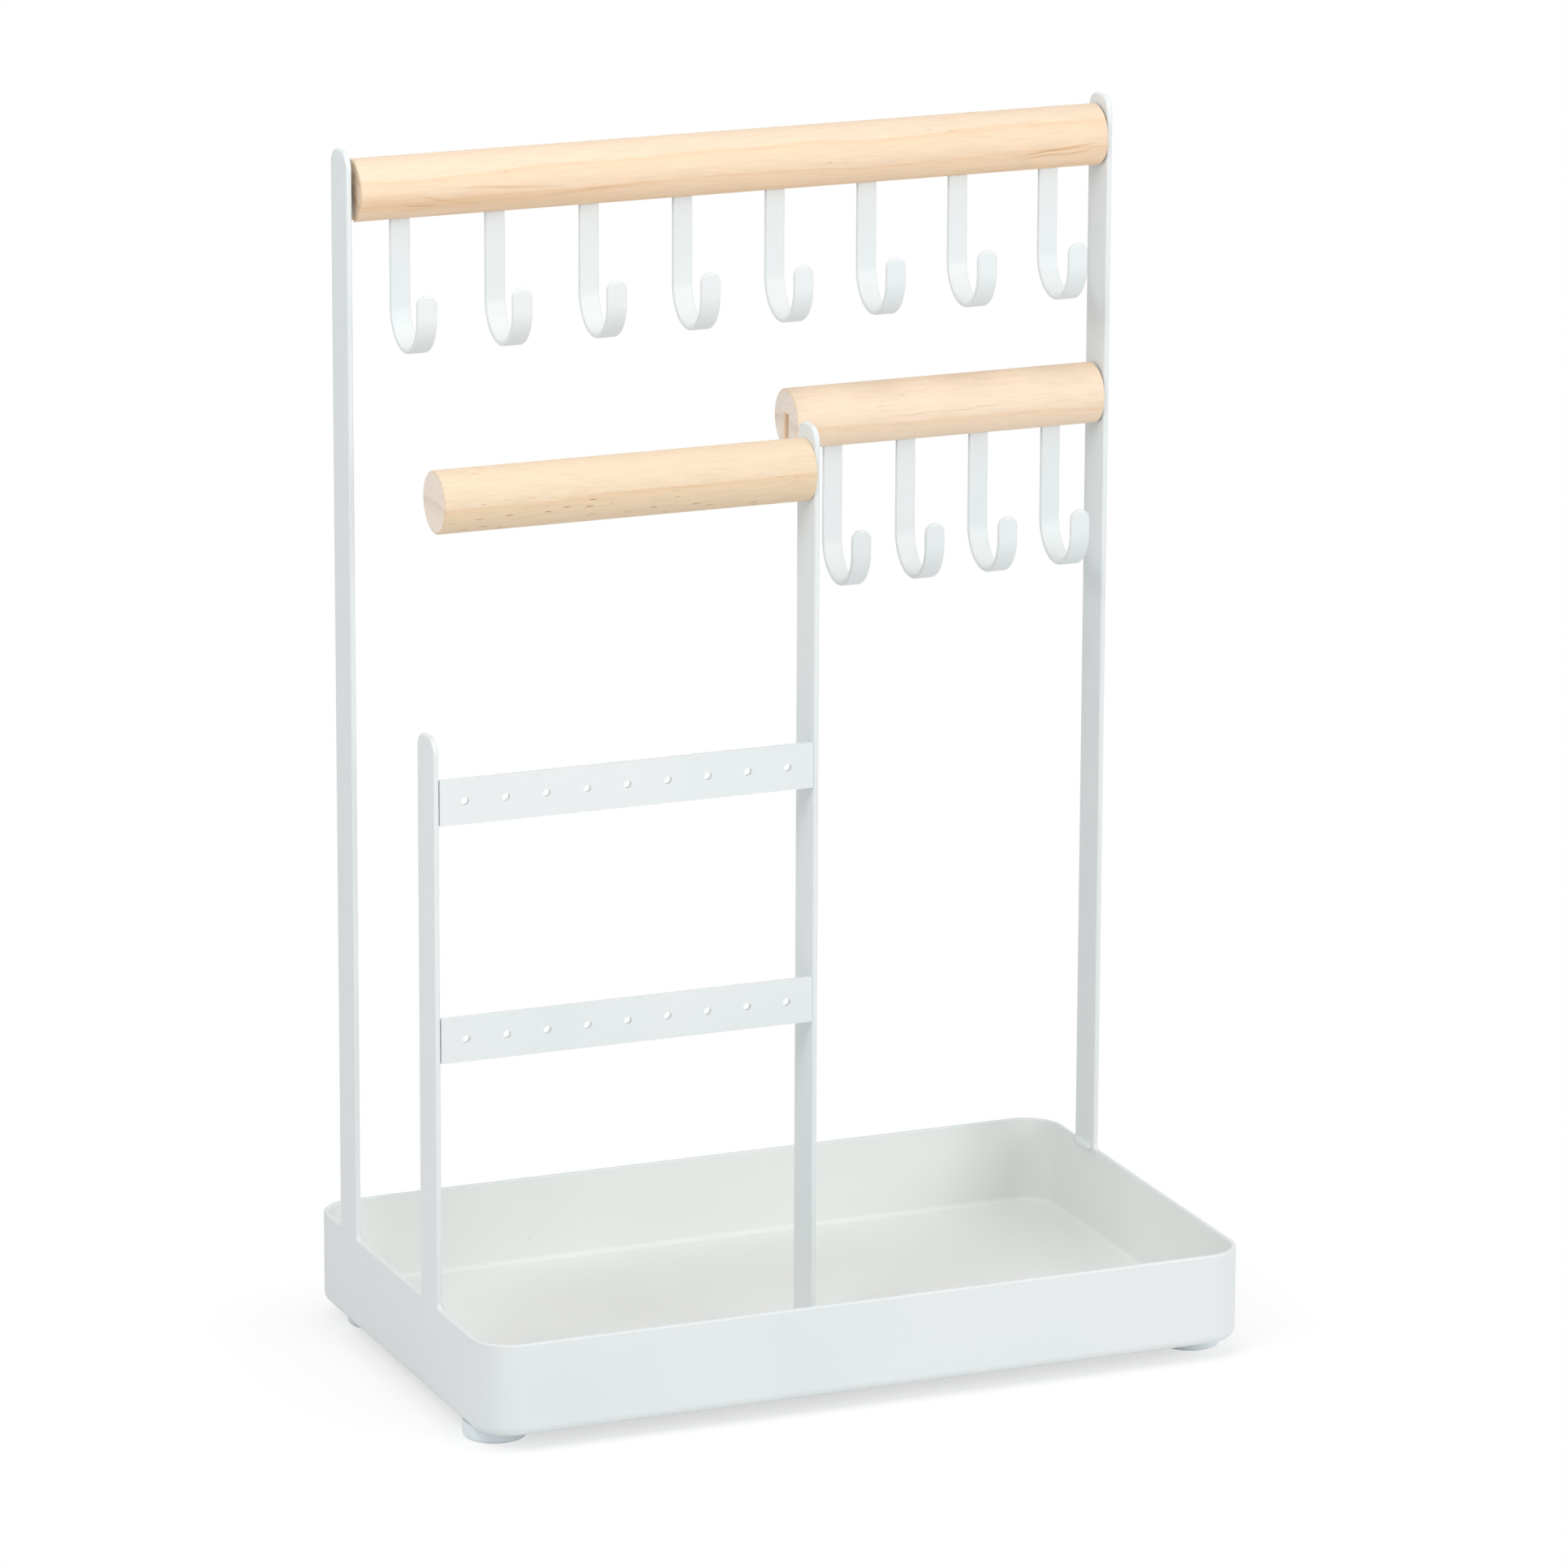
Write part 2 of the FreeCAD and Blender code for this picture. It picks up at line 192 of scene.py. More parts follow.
pine = {"rings": [(0.0, (1, 1, 1)), (0.45, (1, 1, 1)), (0.78, (0.985, 0.955, 0.92)),
                  (0.95, (0.95, 0.855, 0.745)), (1.0, (1, 1, 1))],
        "swayScale": (19, 40, 40), "swayDetail": 2.5, "roughness": (0.64, 0.54), "gloss": 0.3,
        "fibreScale": (150, 1600, 1600), "fibreTones": [(0.30, 0.90), (0.62, 1.0)], "fibreShare": 0.8,
        "fibreStrength": 0.2, "fibreDepth": 0.06 * mm,
        "streak": (0.68, 0.41, 0.19), "streakCore": 0.2, "wanderScale": 90, "wander": 1.3 * mm,
        "dash": (0.40, 0.16, 0.07), "dashScale": (190, 1300, 1300), "dashTones": [(0.08, 1.0), (0.26, 0.0)],
        "dashFade": 3 * mm}


def swayedRings(tree, spot, centred, grain):
    # distance from the pith, and the share of the growth ring that it falls in
    bends = stretched(tree, spot, pine["swayScale"], grain["start"])
    noise = noiseOn(tree, bends, 1.0, detail=pine["swayDetail"])
    level = addNode(tree, "ShaderNodeVectorMath", {1: (noiseMiddle,) * 3}, operation="SUBTRACT")
    wire(tree, noise, "Color", level, 0)
    sway = addNode(tree, "ShaderNodeVectorMath", {"Scale": grain["sway"]}, operation="SCALE")
    wire(tree, level, "Vector", sway, 0)
    moved = addNode(tree, "ShaderNodeVectorMath", operation="ADD")
    wire(tree, centred, "Vector", moved, 0)
    wire(tree, sway, "Vector", moved, 1)
    aim = addNode(tree, "ShaderNodeMapping", {"Location": grain["pith"], "Rotation": grain["tilt"]})
    wire(tree, moved, "Vector", aim, "Vector")
    across = addNode(tree, "ShaderNodeVectorMath", {1: (0, 1, 1)}, operation="MULTIPLY")
    wire(tree, aim, "Vector", across, 0)
    reach = addNode(tree, "ShaderNodeVectorMath", operation="LENGTH")
    wire(tree, across, "Vector", reach, 0)
    years = math2(tree, "DIVIDE", (reach, "Value"), grain["ringGap"])
    return reach, math2(tree, "FRACT", (years, 0), 0.0)


def resinDashes(tree, spot, centred, grain):
    cells = addNode(tree, "ShaderNodeTexVoronoi", {"Scale": 1.0})
    wire(tree, stretched(tree, spot, pine["dashScale"], grain["start"]), "Vector", cells, "Vector")
    chance = addNode(tree, "ShaderNodeSeparateXYZ")
    wire(tree, cells, "Color", chance, "Vector")
    picked = math2(tree, "GREATER_THAN", (chance, "X"), 1 - grain["dashShare"])
    body = greyRamp(tree, cells, "Distance", pine["dashTones"])
    height = addNode(tree, "ShaderNodeSeparateXYZ")
    wire(tree, centred, "Vector", height, "Vector")
    top = grain["dashTop"]
    zone = addNode(tree, "ShaderNodeMapRange", {"From Min": top, "From Max": top - pine["dashFade"]})
    wire(tree, height, "Z", zone, "Value")
    dash = math2(tree, "MULTIPLY", (picked, 0), (body, "Color"))
    zoned = math2(tree, "MULTIPLY", (dash, 0), (zone, "Result"))
    return math2(tree, "MULTIPLY", (zoned, 0), grain["dashDepth"])


def brownStreaks(tree, spot, centred, grain):
    # slim ellipses on the unrolled rod
    parts = addNode(tree, "ShaderNodeSeparateXYZ")
    wire(tree, centred, "Vector", parts, "Vector")
    turn = math2(tree, "ARCTAN2", (parts, "Z"), (math2(tree, "MULTIPLY", (parts, "Y"), -1.0), 0))
    arcs = math2(tree, "MULTIPLY", (turn, 0), grain["radius"])
    noise = noiseOn(tree, spot, pine["wanderScale"], detail=1.0)
    level = math2(tree, "SUBTRACT", (noise, "Fac"), noiseMiddle)
    wander = math2(tree, "MULTIPLY", (level, 0), pine["wander"])
    unrolled = addNode(tree, "ShaderNodeCombineXYZ")
    wire(tree, parts, "X", unrolled, "X")
    wire(tree, math2(tree, "ADD", (arcs, 0), (wander, 0)), 0, unrolled, "Y")
    deepest = 0.0
    for along, around, halfLength, halfWidth, slope, depth in grain["streaks"]:
        ellipse = addNode(tree, "ShaderNodeMapping", {
            "Location": (along * mm, math.radians(around) * grain["radius"], 0),
            "Rotation": (0, 0, math.radians(slope)),
            "Scale": (halfLength * mm, halfWidth * mm, 1)}, vector_type="TEXTURE")
        wire(tree, unrolled, "Vector", ellipse, "Vector")
        reach = addNode(tree, "ShaderNodeVectorMath", operation="LENGTH")
        wire(tree, ellipse, "Vector", reach, 0)
        inside = addNode(tree, "ShaderNodeMapRange", {
            "From Min": 1.0, "From Max": pine["streakCore"], "To Max": depth})
        wire(tree, reach, "Value", inside, "Value")
        deepest = (math2(tree, "MAXIMUM", deepest, (inside, "Result")), 0)
    return deepest


def pineMaterial(name, centre, grain):
    material, tree, surface, spot = newMaterial(name)
    centred = centredOn(tree, spot, centre)
    reach, share = swayedRings(tree, spot, centred, grain)
    pithGap = math.hypot(*grain["pith"])
    age = addNode(tree, "ShaderNodeMapRange", {
        "From Min": pithGap - grain["radius"], "From Max": pithGap + grain["radius"]})
    wire(tree, reach, "Value", age, "Value")
    body = mixColours(tree, (*grain["heart"], 1), (*grain["sap"], 1), (age, "Result"))
    lines = ramp(tree, share, 0, pine["rings"])
    rings = mixColours(tree, (body, mixed), (lines, "Color"), grain["ringDepth"], "MULTIPLY")
    fibre = noiseOn(tree, stretched(tree, spot, pine["fibreScale"]), 1.0, detail=3.0, roughness=0.6)
    fibreTone = greyRamp(tree, fibre, "Fac", pine["fibreTones"])
    toned = mixColours(tree, (rings, mixed), (fibreTone, "Color"), pine["fibreShare"], "MULTIPLY")
    streaks = brownStreaks(tree, spot, centred, grain)
    streaked = mixColours(tree, (toned, mixed), (*pine["streak"], 1), streaks)
    dashes = resinDashes(tree, spot, centred, grain)
    colour = mixColours(tree, (streaked, mixed), (*pine["dash"], 1), (dashes, 0))
    wire(tree, colour, mixed, surface, "Base Color")
    varyRoughness(tree, surface, fibre, pine["roughness"])
    surface.inputs["Specular IOR Level"].default_value = pine["gloss"]
    roughen(tree, surface, fibre, "Fac", pine["fibreStrength"], pine["fibreDepth"])
    return material


# end grain: the same rings cut across, with open pores; the rods' end tones carry painted light: darker on
# the top rod as painted shade, paler on the middle rod

endGrain = {"ringStops": (0.0, 0.6, 0.93, 1.0), "poreScale": 1600, "poreTones": [(0.32, 0.84), (0.60, 1.0)],
            "poreShare": 0.9, "poreStrength": 0.5, "poreDepth": 0.08 * mm, "roughness": (0.80, 0.66),
            "gloss": 0.2}


def endGrainMaterial(name, centre, grain):
    material, tree, surface, spot = newMaterial(name)
    centred = centredOn(tree, spot, centre)
    # per-rod end tones, with painted shade on the top rod and painted light on the middle rod
    pale, dark = grain["ends"]
    share = swayedRings(tree, spot, centred, grain)[1]
    rings = ramp(tree, share, 0, zip(endGrain["ringStops"], (pale, pale, dark, pale)))
    pores = noiseOn(tree, spot, endGrain["poreScale"], roughness=0.7)
    poreTone = greyRamp(tree, pores, "Fac", endGrain["poreTones"])
    colour = mixColours(tree, (rings, "Color"), (poreTone, "Color"), endGrain["poreShare"], "MULTIPLY")
    wire(tree, colour, mixed, surface, "Base Color")
    varyRoughness(tree, surface, pores, endGrain["roughness"])
    surface.inputs["Specular IOR Level"].default_value = endGrain["gloss"]
    roughen(tree, surface, pores, "Fac", endGrain["poreStrength"], endGrain["poreDepth"])
    return material


# foot pads: milky soft plastic

pad = {"deep": (0.83, 0.91, 0.95), "pale": (0.90, 0.97, 0.99), "mottleScale": 260,
       "roughness": (0.50, 0.62), "skinScale": 2080, "skinStrength": 0.3, "skinDepth": 0.05 * mm}


def padMaterial():
    material, tree, surface, spot = newMaterial("footPad")
    mottle = noiseOn(tree, spot, pad["mottleScale"], detail=3.0)
    tone = ramp(tree, mottle, "Fac", zip(noiseSpan, (pad["deep"], pad["pale"])))
    wire(tree, tone, "Color", surface, "Base Color")
    varyRoughness(tree, surface, mottle, pad["roughness"])
    skin = noiseOn(tree, spot, pad["skinScale"])
    roughen(tree, surface, skin, "Fac", pad["skinStrength"], pad["skinDepth"])
    return material


footPad = padMaterial()


# bare steel of the hidden stud

steel = {"dull": (0.48, 0.48, 0.47), "bright": (0.66, 0.65, 0.63), "toneSpan": (0.35, 0.65),
         "grainScale": 420, "grainStrength": 0.2, "grainDepth": 0.03 * mm, "roughness": (0.26, 0.42)}


def steelMaterial():
    material, tree, surface, spot = newMaterial("studSteel")
    specks = noiseOn(tree, spot, steel["grainScale"], detail=4.0, roughness=0.6)
    tone = ramp(tree, specks, "Fac", zip(steel["toneSpan"], (steel["dull"], steel["bright"])))
    wire(tree, tone, "Color", surface, "Base Color")
    varyRoughness(tree, surface, specks, steel["roughness"])
    surface.inputs["Metallic"].default_value = 1.0
    roughen(tree, surface, specks, "Fac", steel["grainStrength"], steel["grainDepth"])
    return material


studSteel = steelMaterial()
print("finishes ready")


# mesh helpers

def arc(centre, radius, first, last, steps):
    turns = [math.radians(first + (last - first) * step / steps) for step in range(steps + 1)]
    return [(centre[0] + radius * math.cos(turn), centre[1] + radius * math.sin(turn)) for turn in turns]


def circle(centre, radius, steps):
    return arc(centre, radius, 0, 360 - 360 / steps, steps - 1)


def roundedBox(halfX, halfY, radius, steps, centre=(0, 0)):
    outline = []
    for number, (sideX, sideY) in enumerate(((1, 1), (-1, 1), (-1, -1), (1, -1))):
        corner = (centre[0] + sideX * (halfX - radius), centre[1] + sideY * (halfY - radius))
        outline += arc(corner, radius, 90 * number, 90 * number + 90, steps)
    return outline


def quarterTurns(steps):
    return [math.radians(90 * step / steps) for step in range(steps + 1)]


def easedEdge(radius, steps):
    # how far a rounded edge lies in from the side, and how far up from the end
    return [(radius - radius * math.sin(turn), radius - radius * math.cos(turn))
            for turn in quarterTurns(steps)]


def insetOutline(outline, distance):
    moved = []
    for index, point in enumerate(outline):
        here = Vector(point)
        before = (here - Vector(outline[index - 1])).normalized()
        after = (Vector(outline[(index + 1) % len(outline)]) - here).normalized()
        left = Vector((-before.y - after.y, before.x + after.x))
        moved.append(here + left * (distance / (1 + before.dot(after))))
    return moved


def loft(bm, loops):
    # skins the loops band by band, then closes the first and the last
    rings = [[bm.verts.new(point) for point in loop] for loop in loops]
    count = len(rings[0])
    for lower, upper in zip(rings, rings[1:]):
        for index in range(count):
            following = (index + 1) % count
            bm.faces.new((lower[index], lower[following], upper[following], upper[index]))
    return bm.faces.new(rings[0][::-1]), bm.faces.new(rings[-1])


sharpTurn = math.radians(42)  # edges that turn further stay crisp


def toPlainMesh(piece):
    # bakes the modifiers into one plain mesh, with normals that follow the large faces
    piece.modifiers.new("weighted", "WEIGHTED_NORMAL").keep_sharp = True
    graph = bpy.context.evaluated_depsgraph_get()
    baked = bpy.data.meshes.new_from_object(
        piece.evaluated_get(graph), preserve_all_data_layers=True, depsgraph=graph)
    piece.modifiers.clear()
    piece.data = baked
    return piece


def newPiece(name, bm, *materials):
    bmesh.ops.recalc_face_normals(bm, faces=bm.faces[:])
    mesh = bpy.data.meshes.new(name)
    bm.to_mesh(mesh)
    bm.free()
    for material in materials:
        mesh.materials.append(material)
    mesh.shade_smooth()
    mesh.set_sharp_from_angle(angle=sharpTurn)
    piece = bpy.data.objects.new(name, mesh)
    bpy.context.scene.collection.objects.link(piece)
    return toPlainMesh(piece)


def settle(piece, slotName, *nodes):
    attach(piece, "root")
    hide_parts(*nodes)


def growTree(name, entries):
    # a geometry tree with named inputs; entries gives each input's name and socket kind
    tree = bpy.data.node_groups.new(name, "GeometryNodeTree")
    for entry, kind in entries.items():
        tree.interface.new_socket(name=entry, in_out="INPUT", socket_type=f"NodeSocket{kind}")
    tree.interface.new_socket(name="Geometry", in_out="OUTPUT", socket_type="NodeSocketGeometry")
    return tree, addNode(tree, "NodeGroupInput"), addNode(tree, "NodeGroupOutput")


def finishTree(tree, given, result, source, output):
    real = addNode(tree, "GeometryNodeRealizeInstances")
    wire(tree, source, output, real, "Geometry")
    painted = addNode(tree, "GeometryNodeSetMaterial")
    wire(tree, real, "Geometry", painted, "Geometry")
    wire(tree, given, "Material", painted, "Material")
    wire(tree, painted, "Geometry", result, "Geometry")


def growPiece(name, tree, values):
    piece = bpy.data.objects.new(name, bpy.data.meshes.new(name))
    modifier = piece.modifiers.new(tree.name, "NODES")
    modifier.node_group = tree
    for item in tree.interface.items_tree:
        if item.in_out == "INPUT":
            modifier[item.identifier] = values[item.name]
    bpy.context.scene.collection.objects.link(piece)
    return piece


# tray: one pressed shell with a rolled rim

tray = {"wall": 1.2 * mm, "corner": 10 * mm, "bottomEdge": 2.5 * mm, "rim": 0.45 * mm,
        "support": 1.5 * mm, "cornerSteps": 20, "edgeSteps": 12, "rimSteps": 5}


def trayLoop(low, high, inset, z):
    middle, half = (low + high) / 2, (high - low) / 2
    radius = tray["corner"] - inset
    outline = roundedBox(half.x - inset, half.y - inset, radius, tray["cornerSteps"], middle)
    return [(*point, z) for point in outline]


def makeTray():
    low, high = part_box("tray")
    wall, edge, rim, support = (tray[key] for key in ("wall", "bottomEdge", "rim", "support"))
    inner = edge - wall
    rimTurns = quarterTurns(tray["rimSteps"])
    outside = [(edge + support, low.z)]
    outside += [(inset, low.z + rise) for inset, rise in easedEdge(edge, tray["edgeSteps"])]
    lip = [(rim - rim * math.cos(turn), high.z - rim + rim * math.sin(turn)) for turn in rimTurns]
    lip += [(wall - rim + rim * math.sin(turn), high.z - rim + rim * math.cos(turn)) for turn in rimTurns]
    inside = [(wall + inner - inner * math.cos(turn), low.z + edge - inner * math.sin(turn))
              for turn in quarterTurns(tray["edgeSteps"])]
    inside += [(edge + support, low.z + wall)]
    bm = bmesh.new()
    loops = [trayLoop(low, high, hair + inset, z) for inset, z in outside + lip + inside]
    under = loft(bm, loops)[0]
    bm.faces.ensure_lookup_table()
    # the inside faces take the lighter, warmer copy of the coat: painted light
    outerFaces = (len(outside + lip) - 1) * len(loops[0])
    for face in bm.faces[outerFaces:]:
        face.material_index = int(face is not under)
    settle(newPiece("tray_shell", bm, whiteCoat, trayCoatPaintedLight), "white_coat", "tray")


makeTray()
print("tray made")


# posts: flat strips with rounded tips; their feet flare into the weld and run into the tray

post = {"tip": 4 * mm, "edge": 0.45 * mm, "flare": 1.3 * mm, "wallSunk": 2.0 * mm, "floorSunk": 0.39 * mm,
        "steps": 12, "edgeSteps": 5}


def makePost(node, sunk):
    low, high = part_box(node)
    tip, flare, steps = post["tip"], post["flare"], post["steps"]
    foot, top, thickness = low.z, high.z, high.x - low.x
    outline = [(low.y - flare, foot - sunk), (high.y + flare, foot - sunk)]
    outline += arc((high.y + flare, foot + flare), flare, -90, -180, steps)
    outline += arc((high.y - tip, top - tip), tip, 0, 90, steps)
    outline += arc((low.y + tip, top - tip), tip, 90, 180, steps)
    outline += arc((low.y - flare, foot + flare), flare, 0, -90, steps)
    nearSide = easedEdge(post["edge"], post["edgeSteps"])
    farSide = [(inset, thickness - depth) for inset, depth in nearSide[::-1]]
    bm = bmesh.new()
    loft(bm, [[(low.x + depth, y, z) for y, z in insetOutline(outline, inset)]
              for inset, depth in nearSide + farSide])
    settle(newPiece(f"{node}_strip", bm, whiteCoat), "white_coat", node)


for node in ("rear_left_post", "rear_right_post", "front_left_post"):
    makePost(node, post["wallSunk"])
makePost("front_right_post", post["floorSunk"])
print("posts made")


# earring bars: a filled outline with a row of holes, pulled to the strip's thickness

bar = {"holeRadius": 1.0 * mm, "holeInset": 6.55 * mm, "holeCount": 9, "holeSteps": 40, "edge": 0.4 * mm,
       "edgeSegments": 4, "weldGap": 0.2 * mm, "mergeGap": 0.001 * mm}


def barTree():
    tree, given, result = growTree("perforatedBar", {
        "Length": "Float", "Height": "Float", "Thickness": "Float", "Hole Radius": "Float",
        "Hole Steps": "Int", "Hole Count": "Int", "First Hole": "Vector", "Hole Step": "Vector",
        "Place": "Vector", "Material": "Material"})
    sheet = addNode(tree, "GeometryNodeCurvePrimitiveQuadrilateral")
    wire(tree, given, "Length", sheet, "Width")
    wire(tree, given, "Height", sheet, "Height")
    row = addNode(tree, "GeometryNodeMeshLine")
    wire(tree, given, "Hole Count", row, "Count")
    wire(tree, given, "First Hole", row, "Start Location")
    wire(tree, given, "Hole Step", row, "Offset")
    hole = addNode(tree, "GeometryNodeCurvePrimitiveCircle")
    wire(tree, given, "Hole Steps", hole, "Resolution")
    wire(tree, given, "Hole Radius", hole, "Radius")
    holes = addNode(tree, "GeometryNodeInstanceOnPoints")
    wire(tree, row, "Mesh", holes, "Points")
    wire(tree, hole, "Curve", holes, "Instance")
    cut = addNode(tree, "GeometryNodeRealizeInstances")
    wire(tree, holes, "Instances", cut, "Geometry")
    lines = addNode(tree, "GeometryNodeJoinGeometry")
    wire(tree, sheet, "Curve", lines, "Geometry")
    wire(tree, cut, "Geometry", lines, "Geometry")
    face = addNode(tree, "GeometryNodeFillCurve", mode="NGONS")
    wire(tree, lines, "Geometry", face, "Curve")
    pulled = addNode(tree, "GeometryNodeExtrudeMesh", {"Individual": False})
    wire(tree, face, "Mesh", pulled, "Mesh")
    wire(tree, given, "Thickness", pulled, "Offset Scale")
    back = addNode(tree, "GeometryNodeFlipFaces")
    wire(tree, face, "Mesh", back, "Mesh")
    both = addNode(tree, "GeometryNodeJoinGeometry")
    wire(tree, pulled, "Mesh", both, "Geometry")
    wire(tree, back, "Mesh", both, "Geometry")
    welded = addNode(tree, "GeometryNodeMergeByDistance", {"Distance": bar["mergeGap"]})
    wire(tree, both, "Geometry", welded, "Geometry")
    stood = addNode(tree, "GeometryNodeTransform", {"Rotation": (math.pi / 2, 0, 0)})
    wire(tree, welded, "Geometry", stood, "Geometry")
    wire(tree, given, "Place", stood, "Translation")
    smooth = addNode(tree, "GeometryNodeSetShadeSmooth")
    wire(tree, stood, "Geometry", smooth, "Geometry")
    finishTree(tree, given, result, smooth, "Geometry")
    return tree


def makeBar(tree, node):
    low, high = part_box(node)
    length = high.x - low.x - bar["weldGap"]
    reach = high.x - low.x - 2 * bar["holeInset"]
    middle = low.x + bar["weldGap"] + length / 2
    piece = growPiece(f"{node}_strip", tree, {
        "Length": length, "Height": high.z - low.z, "Thickness": high.y - low.y,
        "Hole Radius": bar["holeRadius"], "Hole Steps": bar["holeSteps"], "Hole Count": bar["holeCount"],
        "First Hole": (low.x + bar["holeInset"] - middle, 0, 0),
        "Hole Step": (reach / (bar["holeCount"] - 1), 0, 0),
        "Place": (middle, high.y, (low.z + high.z) / 2), "Material": whiteCoat})
    rounding = piece.modifiers.new("paintedEdge", "BEVEL")
    rounding.width = bar["edge"]
    rounding.segments = bar["edgeSegments"]
    rounding.limit_method = "ANGLE"
    rounding.angle_limit = sharpTurn
    settle(toPlainMesh(piece), "white_coat", node)


perforatedBar = barTree()
for node in ("lower_earring_bar", "upper_earring_bar"):
    makeBar(perforatedBar, node)
print("earring bars made")


# hooks: one bent strip, repeated along each dowel

hook = {"rows": {"top": 8, "middle": 4}, "thickness": 1.2 * mm, "lip": 5.8 * mm, "tip": 2.4 * mm,
        "edge": 0.42 * mm, "edgeShare": 0.98, "bendSteps": 40, "tipSteps": 12, "edgeSteps": 4}


def hookSection(halfWidth, halfThickness):
    radius = min(hook["edge"], hook["edgeShare"] * halfWidth, hook["edgeShare"] * halfThickness)
    return roundedBox(halfWidth, halfThickness, radius, hook["edgeSteps"])


def hookMesh(name, node):
    # each station: where it lies from the bend's centre, which way is out, half width and half thickness
    low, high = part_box(node)
    half = hook["thickness"] / 2
    bend = (high.y - low.y) / 2 - half
    centreY, centreZ = (low.y + high.y) / 2, low.z + bend + half
    width, shank = (high.x - low.x) / 2, high.z - centreZ
    stations = [(bend, height, 1, 0, width, half) for height in (shank, shank / 2)]
    for step in range(hook["bendSteps"] + 1):
        turn = -math.pi * step / hook["bendSteps"]
        across, up = math.cos(turn), math.sin(turn)
        stations.append((bend * across, bend * up, across, up, width, half))
    for step in range(hook["tipSteps"] + 1):
        rise = hook["tip"] * math.sin(math.pi / 2 * step / hook["tipSteps"])
        left = hook["tip"] - rise
        narrow = width - hook["tip"] + math.sqrt(max(hook["tip"] ** 2 - rise ** 2, 0))
        closing = max(hook["edge"] - left, 0)
        thin = half - hook["edge"] + math.sqrt(hook["edge"] ** 2 - closing ** 2)
        stations.append((-bend, hook["lip"] - left, -1, 0, narrow, thin))
    bm = bmesh.new()
    loft(bm, [[(x, centreY + y + across * h, centreZ + z + up * h) for x, h in hookSection(wide, thick)]
              for y, z, across, up, wide, thick in stations])
    return newPiece(name, bm)


def rowTree():
    tree, given, result = growTree("hookRow", {
        "Hook": "Object", "Count": "Int", "First": "Vector", "Step": "Vector", "Material": "Material"})
    row = addNode(tree, "GeometryNodeMeshLine")
    wire(tree, given, "Count", row, "Count")
    wire(tree, given, "First", row, "Start Location")
    wire(tree, given, "Step", row, "Offset")
    shape = addNode(tree, "GeometryNodeObjectInfo")
    wire(tree, given, "Hook", shape, "Object")
    copies = addNode(tree, "GeometryNodeInstanceOnPoints")
    wire(tree, row, "Mesh", copies, "Points")
    wire(tree, shape, "Geometry", copies, "Instance")
    finishTree(tree, given, result, copies, "Instances")
    return tree


def makeHooks(tree, row, count):
    nodes = [f"{row}_hook_{number}" for number in range(1, count + 1)]
    pattern = hookMesh(f"{row}_hook_pattern", nodes[0])
    middles = [sum(corner.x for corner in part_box(node)) / 2 for node in (nodes[0], nodes[-1])]
    piece = growPiece(f"{row}_hook_row", tree, {
        "Hook": pattern, "Count": count, "First": (middles[0], 0, 0),
        "Step": ((middles[1] - middles[0]) / (count - 1), 0, 0), "Material": whiteCoat})
    settle(toPlainMesh(piece), "white_coat", *nodes)
    bpy.data.objects.remove(pattern)


hookRow = rowTree()
for row, count in hook["rows"].items():
    makeHooks(hookRow, row, count)
print("hooks made")


# dowels: round rods with eased ends; the two rear ones are slotted from below
# each streak: mm along the rod, degrees round it from the front, half length, half width, slope, depth

